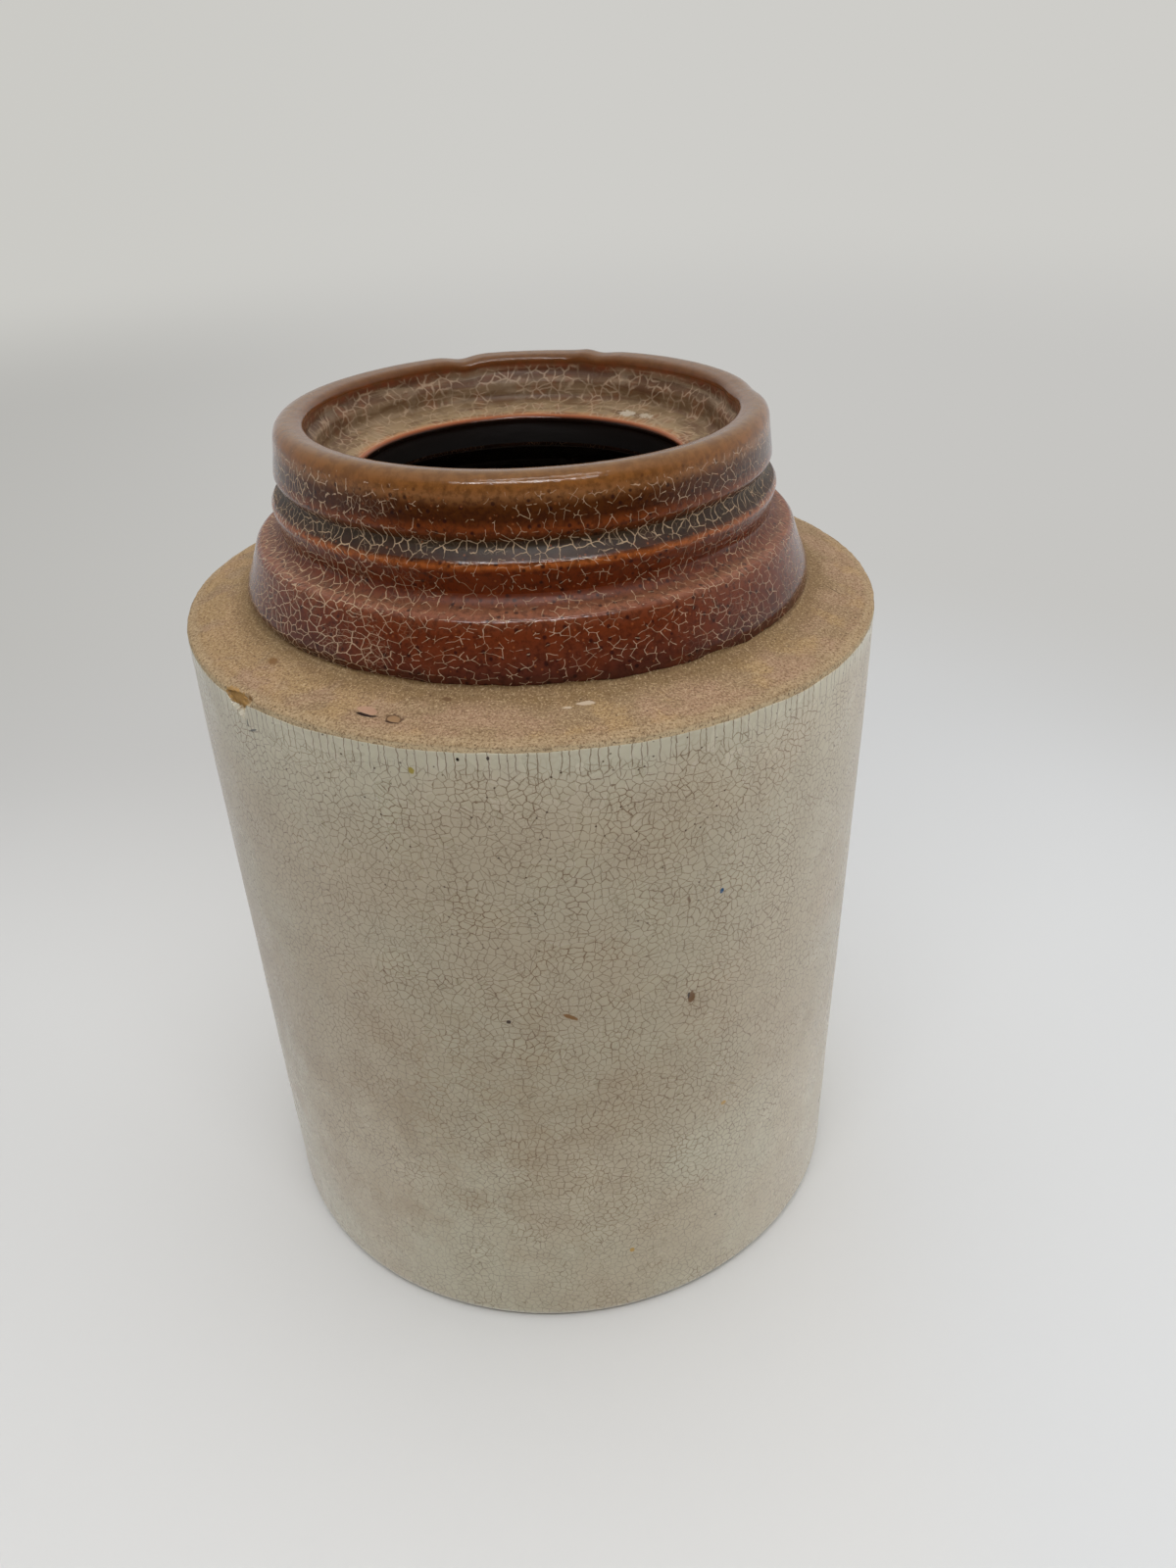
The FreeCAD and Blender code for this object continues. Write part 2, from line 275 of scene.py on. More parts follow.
def surface(azimuth, run, lift=0.0):
    """Points of the real surface, moved outwards by lift. azimuth and run are grids; metres."""
    radius, height, out, up = outline_at(run)
    off = relief(azimuth, run) + lift
    radius = radius + out * off
    height = height + up * off

    rising = smooth(AT["band_foot"], AT["lip_outside"], run)
    on_lip = rising * (1 - smooth(AT["lip_inside"], AT["seat_corner"], run))
    for centre, width, drop, push in RIM_DENTS:
        here = np.exp(-(around(azimuth, centre) / width) ** 2) * on_lip
        height = height - here * drop
        radius = radius - here * push
    angle = np.radians(azimuth)
    oval = smooth(AT["waist"], AT["lip_outside"], run)
    oval = oval * (1 - smooth(AT["seat_corner"], AT["neck_chamber"], run))
    radius = radius - 0.3 * np.cos(2 * angle) * oval

    levels = [AT[name] for name, *_ in OFF_CENTRE]
    right, back, lean_right, lean_back = (
        np.interp(run, levels, column) for column in zip(*(row[1:] for row in OFF_CENTRE)))
    x = radius * np.cos(angle)
    y = radius * np.sin(angle)
    return np.stack([x + right, y + back, height + lean_right * x + lean_back * y], axis=-1) * MM


# ---------------------------------------------------------------- meshes

def spaced(stops):
    """Rows along the outline: stops is a list of (place, row spacing up to the next stop)."""
    rows = []
    for (start, spacing), (end, _) in zip(stops, stops[1:]):
        count = max(1, round((end - start) / spacing))
        rows.append(np.linspace(start, end, count, endpoint=False))
    rows.append([stops[-1][0]])
    return np.concatenate(rows)


def mesh_from_grid(name, grid, run, closed, material):
    """A smooth closed mesh from rows of points that each go once round the jar.

    closed joins the last row to the first. Otherwise the first and last rows are single points on the axis.
    """
    rows, across = grid.shape[:2]
    index = np.arange(rows * across).reshape(rows, across)
    following = np.roll(index, -1, axis=1)
    upper = np.roll(index, -1, axis=0)
    upper_following = np.roll(following, -1, axis=0)
    faces = np.stack([index, following, upper_following, upper], axis=-1)
    faces = faces if closed else faces[:-1]
    faces = faces.reshape(-1, 4).tolist()
    points = grid.reshape(-1, 3)
    along = np.broadcast_to(run, grid.shape[:2]).reshape(-1)
    if not closed:
        points = np.concatenate([points, [[0, 0, grid[0, :, 2].mean()], [0, 0, grid[-1, :, 2].mean()]]])
        along = np.concatenate([along, [along[0], along[-1]]])
        low, high = len(points) - 2, len(points) - 1
        faces += [[low, b, a] for a, b in zip(index[0].tolist(), following[0].tolist())]
        faces += [[high, a, b] for a, b in zip(index[-1].tolist(), following[-1].tolist())]
    mesh = bpy.data.meshes.new(name)
    mesh.from_pydata(points.tolist(), [], faces)
    mesh.polygons.foreach_set("use_smooth", [True] * len(faces))
    mesh.set_sharp_from_angle(angle=math.radians(60.0))
    mesh.attributes.new("run", "FLOAT", "POINT").data.foreach_set("value", along.astype(np.float32))
    mesh.materials.append(material)
    mesh.update()
    piece = bpy.data.objects.new(name, mesh)
    bpy.context.scene.collection.objects.link(piece)
    return piece


def azimuths(across):
    """The columns of a mesh: evenly spaced, with closer ones at the chip."""
    even = np.linspace(-180.0, 180.0, across, endpoint=False)
    return np.union1d(even, CHIP_COLUMNS)[None, :]


def glaze_coat(name, rows, across, material, wander, lift, rolls):
    """One coat: a skin over the stretch of rows, with a rounded, wavering edge at each end.

    wander is how far each end strays, lift how proud the coat stands of the clay near its ends,
    and rolls how wide each end's rounded edge is, 0 where the coat meets another one flush. The coat
    sinks out of sight where the clay is chipped.
    """
    azimuth = azimuths(across)
    turn = np.radians(azimuth)
    rows = rows[:, None]
    from_start, from_end = rows - rows[0], rows[-1] - rows
    stray = noise(9 * np.cos(turn), 9 * np.sin(turn), 0.0 * turn, 21)
    stray = stray + 0.5 * noise(30 * np.cos(turn), 30 * np.sin(turn), 0.0 * turn, 22)
    run = rows
    rounded = 1.0
    near_end = 0.0
    for distance, roll in zip((from_start, from_end), rolls):
        if roll:
            rounded = rounded * np.sqrt(1 - (1 - np.clip(distance / roll, 0, 1)) ** 2)
            near_end = np.maximum(near_end, 1 - smooth(4, 10, distance))
            run = run + wander * stray * np.exp(-distance / 5)
    proud = -EDGE_SINK + (EDGE_SINK + lift * near_end) * rounded
    sunk = 2 * COAT * smooth(0.0, 0.3, chipped(azimuth, run))
    outer = surface(azimuth, run, proud - sunk)
    inner = surface(azimuth, run, -COAT - sunk)[::-4]
    grid = np.concatenate([outer, inner])
    along = np.concatenate([run, run[::-4]])
    return mesh_from_grid(name, grid, along, True, material)


def clay_shape(name, rows, across, material, coated):
    """The clay: flush with the finished surface where it is bare, one coat lower under each glaze."""
    azimuth = azimuths(across)
    run = rows[:, None]
    depth = np.zeros_like(run)
    for start, end in coated:
        under = smooth(start + 2.0, start + 2.8, run) * (1 - smooth(end - 2.8, end - 2.0, run))
        depth = np.maximum(depth, under)
    grid = surface(azimuth, run, -COAT * depth)
    return mesh_from_grid(name, grid, np.broadcast_to(run, grid.shape[:2]), False, material)


# ---------------------------------------------------------------- material nodes

class Nodes:
    """A node tree being built: each method adds one node and returns its output socket."""

    def __init__(self, tree):
        self.tree = tree
        tree.nodes.clear()

    def node(self, kind, *inputs, **settings):
        made = self.tree.nodes.new(kind)
        for key, value in settings.items():
            setattr(made, key, value)
        for socket, value in zip(made.inputs, inputs):
            self.feed(socket, value)
        return made

    def feed(self, socket, value):
        if value is None:
            return
        if isinstance(value, bpy.types.NodeSocket):
            self.tree.links.new(value, socket)
        elif isinstance(value, tuple) and len(value) == 3 and socket.type == "RGBA":
            socket.default_value = (*value, 1.0)
        else:
            socket.default_value = value

    def math(self, operation, *values, clamp=False):
        return self.node("ShaderNodeMath", *values, operation=operation, use_clamp=clamp).outputs[0]

    def vector(self, operation, *values):
        made = self.node("ShaderNodeVectorMath", operation=operation)
        for socket, value in zip(made.inputs, values):
            self.feed(socket, value)
        return made.outputs["Value"] if operation in ("LENGTH", "DOT_PRODUCT") else made.outputs["Vector"]

    def scaled(self, vector, factor):
        made = self.node("ShaderNodeVectorMath", operation="SCALE")
        self.feed(made.inputs["Vector"], vector)
        self.feed(made.inputs["Scale"], factor)
        return made.outputs["Vector"]

    def combine(self, x, y, z):
        return self.node("ShaderNodeCombineXYZ", x, y, z).outputs[0]

    def step(self, low, high, value, top=1.0):
        """0 where value is low, rising smoothly to top where it is high. Low may exceed high."""
        made = self.node("ShaderNodeMapRange", interpolation_type="SMOOTHSTEP")
        ascending = low <= high
        self.feed(made.inputs["Value"], value)
        made.inputs["From Min"].default_value = min(low, high)
        made.inputs["From Max"].default_value = max(low, high)
        made.inputs["To Min"].default_value = 0.0 if ascending else top
        made.inputs["To Max"].default_value = top if ascending else 0.0
        return made.outputs["Result"]

    def mix(self, factor, first, second, blend="MIX"):
        made = self.node("ShaderNodeMix", data_type="RGBA", blend_type=blend, clamp_factor=True)
        self.feed(made.inputs["Factor"], factor)
        self.feed(made.inputs[6], first)
        self.feed(made.inputs[7], second)
        return made.outputs[2]

    def ramp(self, value, stops):
        """A colour for each value: stops is a list of (value, colour), values from 0 to 1."""
        made = self.node("ShaderNodeValToRGB", value)
        elements = made.color_ramp.elements
        while len(elements) < len(stops):
            elements.new(0.5)
        for element, (place, _) in zip(elements, stops):
            element.position = place
        for element, (_, tint) in zip(made.color_ramp.elements, stops):
            element.color = (*tint, 1.0)
        return made.outputs["Color"]

    def total(self, *values):
        result = values[0]
        for value in values[1:]:
            result = self.math("ADD", result, value)
        return result

    def product(self, *values):
        result = values[0]
        for value in values[1:]:
            result = self.math("MULTIPLY", result, value)
        return result


class Shade(Nodes):
    """A material being built, with the place on the jar and the distance along its outline at hand."""

    def __init__(self, name):
        self.material = bpy.data.materials.new(name)
        self.material.use_nodes = True
        super().__init__(self.material.node_tree)
        self.place = self.node("ShaderNodeTexCoord").outputs["Object"]
        self.x, self.y, self.z = self.node("ShaderNodeSeparateXYZ", self.place).outputs
        self.run = self.node("ShaderNodeAttribute", attribute_name="run").outputs["Fac"]

    def noise(self, size, detail=2.0, roughness=0.5, vector=None, colour=False):
        """Noise whose features are about size mm across."""
        made = self.node("ShaderNodeTexNoise")
        self.feed(made.inputs["Vector"], vector or self.place)
        made.inputs["Scale"].default_value = 1.0 / (size * MM)
        made.inputs["Detail"].default_value = detail
        made.inputs["Roughness"].default_value = roughness
        return made.outputs["Color" if colour else "Fac"]

    def turned(self, size, drift=6.0):
        """Noise in bands about size mm wide that go round the jar. drift in mm is how far they stray."""
        turn = self.math("ARCTAN2", self.y, self.x)
        level = self.combine(
            self.math("MULTIPLY", self.math("COSINE", turn), drift * MM),
            self.math("MULTIPLY", self.math("SINE", turn), drift * MM),
            self.math("MULTIPLY", self.run, MM))
        return self.noise(size, 3.0, 0.6, vector=level)

    def finish(self, colour, roughness, height=None, depth=0.1, **settings):
        """Closes the material: height is a bump of this depth in mm."""
        shader = self.node("ShaderNodeBsdfPrincipled")
        self.feed(shader.inputs["Base Color"], colour)
        self.feed(shader.inputs["Roughness"], roughness)
        for name, value in settings.items():
            shader.inputs[name.replace("_", " ")].default_value = value
        if height is not None:
            bump = self.node("ShaderNodeBump")
            bump.inputs["Strength"].default_value = 1.0
            bump.inputs["Distance"].default_value = depth * MM
            self.feed(bump.inputs["Height"], height)
            self.feed(shader.inputs["Normal"], bump.outputs["Normal"])
        return self.close(shader.outputs["BSDF"])

    def close(self, surface):
        """Ends the material in this surface."""
        output = self.node("ShaderNodeOutputMaterial")
        self.tree.links.new(surface, output.inputs["Surface"])
        return self.material


def colour(red, green, blue):
    """A colour as seen on a screen, 0 to 255, for a shader."""
    levels = [value / 255 for value in (red, green, blue)]
    return tuple(v / 12.92 if v < 0.04 else ((v + 0.055) / 1.055) ** 2.4 for v in levels)


def crack_net(shade, along, cell, reach, seed=0.0):
    """Distance in mm to the nearest crack of a net that is drawn out flat round the jar.

    along is the other coordinate in mm, cell the width of the net's cells, and reach the radius that it is
    drawn out at, both in mm. The net's two ends meet at the back in one more crack.
    """
    offset = None
    for size, amount in [(cell * 1.6, cell * 0.9), (cell * 0.4, cell * 0.22), (cell * 6.0, cell * 2.2)]:
        centred = shade.vector("SUBTRACT", shade.noise(size, 1.0, colour=True), (0.5, 0.5, 0.5))
        part = shade.scaled(centred, amount * MM)
        offset = part if offset is None else shade.vector("ADD", offset, part)
    moved = shade.vector("ADD", shade.place, offset)
    parts = shade.node("ShaderNodeSeparateXYZ", moved).outputs
    turn = shade.math("ARCTAN2", parts[1], parts[0])
    across = shade.math("MULTIPLY", turn, reach)
    rise = shade.node("ShaderNodeSeparateXYZ", offset).outputs[2]
    up = shade.math("MULTIPLY_ADD", rise, 1 / MM, along)
    flat = shade.combine(across, up, seed)
    net = shade.node("ShaderNodeTexVoronoi", feature="DISTANCE_TO_EDGE", voronoi_dimensions="2D")
    shade.feed(net.inputs["Vector"], shade.vector("ADD", flat, (seed, seed, 0.0)))
    net.inputs["Scale"].default_value = 1.0 / cell
    edge = shade.math("MULTIPLY", net.outputs["Distance"], cell)
    seam = shade.math("MULTIPLY", shade.math("SUBTRACT", math.pi, shade.math("ABSOLUTE", turn)), reach)
    return shade.math("MINIMUM", edge, seam)


def specks(shade, spacing, size, share, seed=0.0):
    """Small round specks: 1 inside one, 0 elsewhere. Only a share of the places has one."""
    moved = shade.vector("ADD", shade.place, (seed, seed, seed))
    cells = shade.node("ShaderNodeTexVoronoi", feature="F1")
    shade.feed(cells.inputs["Vector"], moved)
    cells.inputs["Scale"].default_value = 1.0 / (spacing * MM)
    pick = shade.node("ShaderNodeSeparateColor", cells.outputs["Color"]).outputs["Red"]
    chosen = shade.math("LESS_THAN", pick, share)
    near = shade.step(size / spacing, 0.5 * size / spacing, cells.outputs["Distance"])
    return shade.math("MULTIPLY", near, chosen)


def mark(shade, azimuth, run, width, tall, tilt, ragged):
    """An oval mark on the jar, half width by half height in mm: 1 inside, 0 outside. tilt is in degrees."""
    angle = math.radians(azimuth)
    sideways = shade.vector("DOT_PRODUCT", shade.place, (-math.sin(angle), math.cos(angle), 0.0))
    towards = shade.vector("DOT_PRODUCT", shade.place, (math.cos(angle), math.sin(angle), 0.0))
    along = shade.math("SUBTRACT", shade.run, run)
    flat = shade.combine(shade.math("DIVIDE", sideways, MM), along, 0.0)
    turned = shade.node("ShaderNodeVectorRotate", rotation_type="Z_AXIS")
    shade.feed(turned.inputs["Vector"], flat)
    turned.inputs["Angle"].default_value = math.radians(tilt)
    distance = shade.vector("LENGTH", shade.vector("DIVIDE", turned.outputs["Vector"], (width, tall, 1.0)))
    broken = shade.math("MULTIPLY_ADD", shade.noise(0.9, 2.0), ragged, distance)
    inside = shade.step(1.0 + ragged * 0.5, 0.7 + ragged * 0.5, broken)
    return shade.math("MULTIPLY", inside, shade.math("GREATER_THAN", towards, 0.0))


def marked(shade, body, marks, ragged=0.5):
    """body with marks painted over it: azimuth, run, half width, half height, tilt and colour of each."""
    for azimuth, run, width, tall, tilt, tint in marks:
        body = shade.mix(mark(shade, azimuth, run, width, tall, tilt, ragged), body, colour(*tint))
    return body


def band(shade, low, high, soft=1.0):
    """1 between two distances along the outline, softening to 0 just outside them."""
    rising = shade.step(low - soft, low, shade.run)
    return shade.math("MULTIPLY", rising, shade.step(high + soft, high, shade.run))


# ---------------------------------------------------------------- materials

CREAM_COOL = (201, 194, 171)
CREAM_WARM = (199, 187, 163)
CREAM_TOP = (203, 197, 175)
CREAM_MOTTLE = (186, 171, 146)
CREAM_GRIMY = (172, 155, 129)


def upright_cracks(shade, spacing, longest):
    """Thin cracks that run straight down from the top of the wall, each to its own length."""
    turn = shade.math("ARCTAN2", shade.y, shade.x)
    sway = shade.math("SUBTRACT", shade.noise(2.6, 2.0), 0.5)
    across = shade.math("MULTIPLY_ADD", turn, 99.0, shade.math("MULTIPLY", sway, 1.3))
    lines = shade.node(
        "ShaderNodeTexVoronoi", feature="DISTANCE_TO_EDGE", voronoi_dimensions="1D")
    shade.feed(lines.inputs["W"], across)
    lines.inputs["Scale"].default_value = 1.0 / spacing
    distance = shade.math("MULTIPLY", lines.outputs["Distance"], spacing)
    by_place = shade.combine(shade.math("MULTIPLY", across, MM), 0.0, 0.0)
    length = shade.math("MULTIPLY", shade.noise(spacing, 1.0, vector=by_place), longest)
    past_end = shade.math("SUBTRACT", shade.math("SUBTRACT", AT["shoulder_edge"], length), shade.run)
    return shade.product(shade.step(0.19, 0.05, distance), shade.step(0.8, -0.8, past_end))


def cream_glaze():
    """Grey-cream glaze, crazed all over in fine brown lines that stand upright just under the shoulder."""
    shade = Shade("cream_glaze")
    top = AT["shoulder_edge"]
    distance = crack_net(shade, shade.run, cell=2.1, reach=99.0)
    finer = crack_net(shade, shade.run, cell=1.35, reach=99.0, seed=40.0)

    patchy = shade.noise(14.0, 3.0)
    low_down = shade.step(AT["foot"] + 70, AT["foot"] + 20, shade.run)
    along_line = shade.step(0.3, 0.6, shade.noise(1.8, 2.0))
    strong = shade.math("MULTIPLY_ADD", shade.step(0.35, 0.65, patchy), 0.25, 0.7)
    strong = shade.product(strong, shade.math("MULTIPLY_ADD", along_line, 0.45, 0.55))
    main = shade.product(shade.step(0.18, 0.04, distance), strong)
    fine = shade.product(shade.step(0.13, 0.03, finer), shade.step(0.44, 0.62, shade.noise(7.0, 2.0)), 0.35)
    net = shade.math("MAXIMUM", main, fine)
    net = shade.math("MULTIPLY", net, shade.math("MULTIPLY_ADD", low_down, -0.25, 1.0))
    drift = shade.math("MULTIPLY_ADD", shade.noise(6.0, 2.0), 7.0, shade.run)
    net = shade.math("MULTIPLY", net, shade.step(top - 0.5, top - 5.0, drift))
    upright = shade.math("MULTIPLY", upright_cracks(shade, 2.4, 17.0), 0.85)
    crack = shade.math("MAXIMUM", net, upright)

    warm = shade.step(0.38, 0.62, shade.noise(45.0, 2.0))
    body = shade.mix(warm, colour(*CREAM_COOL), colour(*CREAM_WARM))
    body = shade.mix(shade.step(top - 10, top - 3, shade.run, 0.8), body, colour(*CREAM_TOP))
    halfway = band(shade, AT["foot"] + 90, top - 32, 26.0)
    body = shade.mix(shade.math("MULTIPLY", halfway, 0.4), body, colour(*CREAM_GRIMY))
    mottle = shade.step(0.35, 0.7, shade.noise(4.0, 3.0, 0.6), 0.2)
    body = shade.mix(mottle, body, colour(*CREAM_MOTTLE))
    halo = shade.product(shade.step(0.6, 0.0, distance), shade.step(0.35, 0.7, patchy), 0.12)
    body = shade.mix(halo, body, colour(156, 130, 100))
    stained = shade.product(
        band(shade, AT["foot"] + 45, AT["foot"] + 115, 30.0),
        shade.step(0.4, 0.7, shade.noise(16.0, 5.0, 0.7)),
        shade.step(0.05, -0.02, shade.x))
    body = shade.mix(shade.math("MULTIPLY", stained, 0.35), body, colour(162, 136, 102))
    body = shade.mix(shade.math("MULTIPLY", crack, 0.88), body, colour(108, 76, 50))
    high_up = shade.step(top - 90.0, top - 40.0, shade.run, 0.9)
    dots = shade.product(specks(shade, 2.0, 0.38, 0.45), shade.step(0.6, 0.3, distance), high_up)
    body = shade.mix(dots, body, colour(74, 50, 36))
    body = shade.mix(specks(shade, 15.0, 0.6, 0.16, 0.3), body, colour(60, 38, 28))
    body = marked(shade, body, [
        (-68.1, 221.8, 1.4, 2.2, 0.0, (118, 84, 50)),
        (-68.6, 222.8, 0.5, 1.3, 0.0, (58, 38, 24)),
        (-87.8, 223.9, 2.6, 0.8, 30.0, (140, 100, 54)),
        (-63.2, 254.8, 0.7, 1.0, 20.0, (34, 74, 112)),
        (-107.9, top - 7.5, 0.9, 1.1, 0.0, (166, 146, 60)),
        (-101.2, top - 3.4, 0.45, 0.6, 0.0, (50, 32, 22)),
        (-97.1, top - 2.9, 0.45, 0.6, 0.0, (50, 32, 22)),
        (-78.6, 124.8, 0.9, 1.1, 0.0, (190, 152, 76)),
        (-61.0, 175.3, 1.0, 0.9, 0.0, (190, 154, 90)),
        (-97.3, 222.9, 0.7, 0.7, 0.0, (60, 42, 30)),
    ])
    body = marked(shade, body, [
        (-137.6, top - 7.4, 0.4, 1.2, 0.0, (84, 80, 72)),
        (-136.4, top - 8.7, 2.2, 0.36, -25.0, (84, 80, 72)),
        (-25.6, 292.0, 0.25, 13.0, 3.0, (96, 78, 60)),
        (-59.3, 181.6, 2.2, 0.5, 40.0, (158, 140, 112)),
    ], 0.2)
    height = shade.math("MULTIPLY_ADD", crack, -0.6, shade.noise(3.0, 3.0))
    rough = shade.math("MULTIPLY_ADD", shade.noise(12.0, 2.0), 0.2, 0.18)
    return shade.finish(body, rough, height, 0.04, IOR=1.62)


# colours down the neck and into the mouth: corner, mm past it, colour
NECK_COLOURS = [
    ("neck_foot", 0.0, (74, 37, 27)),
    ("bulge", 0.0, (82, 40, 28)),
    ("bulge", 5.0, (96, 44, 25)),
    ("bulge_top", -4.0, (104, 45, 20)),
    ("bulge_top", -1.0, (116, 60, 36)),
    # the pale ledge from bulge_top to the waist is partly dust and partly a painted reflection of the
    # bright tent above
    ("bulge_top", 1.5, (144, 92, 67)),
    ("bulge_top", 3.6, (118, 74, 50)),
    ("waist", -0.4, (104, 46, 16)),
    ("waist", 3.0, (98, 38, 9)),
    ("ridge", -1.4, (106, 42, 9)),
    ("ridge", 0.0, (164, 88, 40)),
    ("ridge", 1.6, (54, 28, 10)),
    ("groove", -1.4, (46, 34, 20)),
    ("groove", 0.6, (54, 40, 22)),
    ("band_foot", -1.0, (104, 52, 23)),
    ("band_foot", 0.6, (120, 58, 23)),
    ("band_foot", 3.0, (68, 32, 10)),
    ("lip_outside", -7.0, (78, 40, 12)),
    ("lip_outside", -4.6, (138, 92, 54)),
    ("lip_outside", -2.6, (136, 86, 42)),
    ("lip_outside", 2.0, (118, 84, 46)),
    ("lip_inside", 0.0, (110, 70, 36)),
    ("lip_inside", 2.6, (120, 60, 32)),
    ("upper_ring_hollow", 0.0, (84, 58, 36)),
    ("ring", 0.0, (106, 76, 50)),
    ("seat_corner", 0.0, (118, 94, 66)),
    ("throat_lip", -3.0, (150, 126, 92)),
    ("throat_lip", -1.4, (176, 124, 80)),
    ("throat_lip", -0.4, (150, 78, 36)),
    # into the throat the glaze darkens past the lining's own colour to near black: painted shade inside the
    # hole
    ("throat_lip", 0.5, (20, 10, 6)),
    ("throat_foot", 0.0, (8, 5, 4)),
]
NECK_CRACK = (192, 164, 132)


def neck_body(shade):
    """The glaze under the cracks: rust and dark bands, streaked and mottled."""
    first, last = AT["neck_foot"], AT["throat_foot"]
    in_mouth = band(shade, AT["lip_inside"] + 2.0, AT["throat_lip"] - 2.0)
    outside = shade.step(AT["lip_outside"] - 1.0, AT["lip_outside"] - 5.0, shade.run)
    wander = shade.math("MULTIPLY", shade.math("SUBTRACT", shade.noise(5.0, 3.0), 0.5), 1.6)
    above_throat = shade.step(AT["throat_lip"] - 1.0, AT["throat_lip"] - 4.0, shade.run)
    wandered = shade.total(shade.run, shade.math("MULTIPLY", wander, above_throat))
    place = shade.math("DIVIDE", shade.math("SUBTRACT", wandered, first), last - first)
    body = shade.ramp(place, [
        ((AT[name] + shift - first) / (last - first), colour(*tint)) for name, shift, tint in NECK_COLOURS])
    streaks = shade.step(0.42, 0.64, shade.noise(1.5, 4.0, 0.65), 0.5)
    body = shade.mix(shade.math("MULTIPLY", streaks, outside), body, colour(40, 17, 9))
    on_lip = band(shade, AT["lip_outside"] - 3.0, AT["lip_inside"] + 2.0)
    clouds = shade.step(0.4, 0.64, shade.noise(3.0, 4.0, 0.65), 0.5)
    body = shade.mix(shade.math("MULTIPLY", on_lip, clouds), body, colour(92, 58, 28))
    rust = shade.step(0.45, 0.75, shade.noise(8.0, 4.0, 0.6), 0.5)
    below = shade.step(AT["band_foot"], AT["waist"], shade.run)
    body = shade.mix(shade.math("MULTIPLY", rust, below), body, colour(112, 50, 22))
    dark = shade.product(specks(shade, 2.2, 0.7, 0.45), outside, 0.75)
    body = shade.mix(dark, body, colour(34, 16, 14))
    lit_spots = shade.product(specks(shade, 1.7, 0.4, 0.3, 0.4), outside, 0.45)
    body = shade.mix(lit_spots, body, colour(160, 88, 48))
    cells = shade.step(0.42, 0.62, shade.noise(4.0, 2.0), 0.4)
    body = shade.mix(shade.math("MULTIPLY", in_mouth, cells), body, colour(86, 62, 36))
    rusty = shade.step(0.5, 0.68, shade.noise(5.0, 2.0), 0.4)
    return shade.mix(shade.math("MULTIPLY", in_mouth, rusty), body, colour(128, 70, 38))


def neck_cracks(shade):
    """The cream crack net, 1 on a crack: whole at the sides and in the hollows, broken in front."""
    below = shade.math("MAXIMUM", shade.math("SUBTRACT", AT["bulge_top"], shade.run), 0.0)
    flattened = shade.math("MULTIPLY_ADD", below, -0.5, shade.run)
    distance = crack_net(shade, flattened, cell=3.1, reach=76.0)
    finer = crack_net(shade, flattened, cell=1.8, reach=76.0, seed=70.0)
    left = shade.step(-0.018, -0.045, shade.x)
    right = shade.step(0.02, 0.06, shade.x, 0.5)
    hollow = band(shade, AT["groove"] - 1.8, AT["groove"] + 1.8, 0.8)
    whole = shade.math("MAXIMUM", shade.math("MAXIMUM", left, right), hollow)
    on_band = band(shade, AT["band_foot"] + 1.0, AT["lip_outside"] - 4.0, 1.0)
    bare_stretch = shade.product(shade.step(-0.060, -0.045, shade.x), shade.step(0.002, -0.014, shade.x))
    on_lip = band(shade, AT["lip_outside"] - 2.0, AT["throat_foot"], 2.0)
    gaps = shade.total(
        0.46,
        shade.math("MULTIPLY", whole, -0.13),
        shade.product(on_band, bare_stretch, 0.16),
        shade.math("MULTIPLY", on_lip, 0.4))
    shown = shade.step(0.0, 0.05, shade.math("SUBTRACT", shade.noise(2.2, 1.0), gaps))
    patches = shade.math("MULTIPLY_ADD", shade.step(0.38, 0.6, shade.noise(7.0, 2.0)), 0.45, 0.45)
    strength = shade.math("MAXIMUM", patches, whole)
    thinned = shade.math("MULTIPLY", distance, shade.math("MULTIPLY_ADD", whole, -0.45, 1.45))
    main = shade.product(shade.step(0.19, 0.07, thinned), shown, strength)
    some = shade.product(shade.step(0.46, 0.6, shade.noise(6.0, 2.0), 0.35), whole)
    fine = shade.product(shade.step(0.13, 0.05, finer), some, shade.step(0.6, 0.0, on_lip))
    return shade.math("MAXIMUM", main, fine)


def mouth_residue(shade, body):
    """body with the worn net and pale deposits of the mouth painted over it."""
    in_mouth = band(shade, AT["lip_inside"] + 3.0, AT["throat_lip"] - 1.5, 1.0)
    wide = crack_net(shade, shade.run, cell=3.2, reach=60.0, seed=20.0)
    layers = shade.turned(2.6)
    for faint, full, strength, tint in [(0.5, 0.38, 0.55, (84, 48, 26)), (0.5, 0.64, 0.45, (150, 126, 98))]:
        layer = shade.product(in_mouth, shade.step(faint, full, layers, strength))
        body = shade.mix(layer, body, colour(*tint))
    worn = shade.step(0.35, 0.6, shade.noise(5.0, 2.0), 0.5)
    worn_net = shade.product(shade.step(0.5, 0.05, wide), in_mouth, worn)
    body = shade.mix(worn_net, body, colour(186, 162, 134))
    deposit = shade.step(0.52, 0.7, shade.noise(6.0, 4.0, 0.6), 0.35)
    body = shade.mix(shade.product(in_mouth, deposit), body, colour(146, 126, 102))
    return marked(shade, body, [
        (50.0, AT["throat_lip"] - 4.5, 3.4, 1.6, 0.0, (184, 170, 150)),
        (42.0, AT["throat_lip"] - 5.0, 2.6, 1.4, 0.0, (178, 162, 140)),
    ], 2.4)


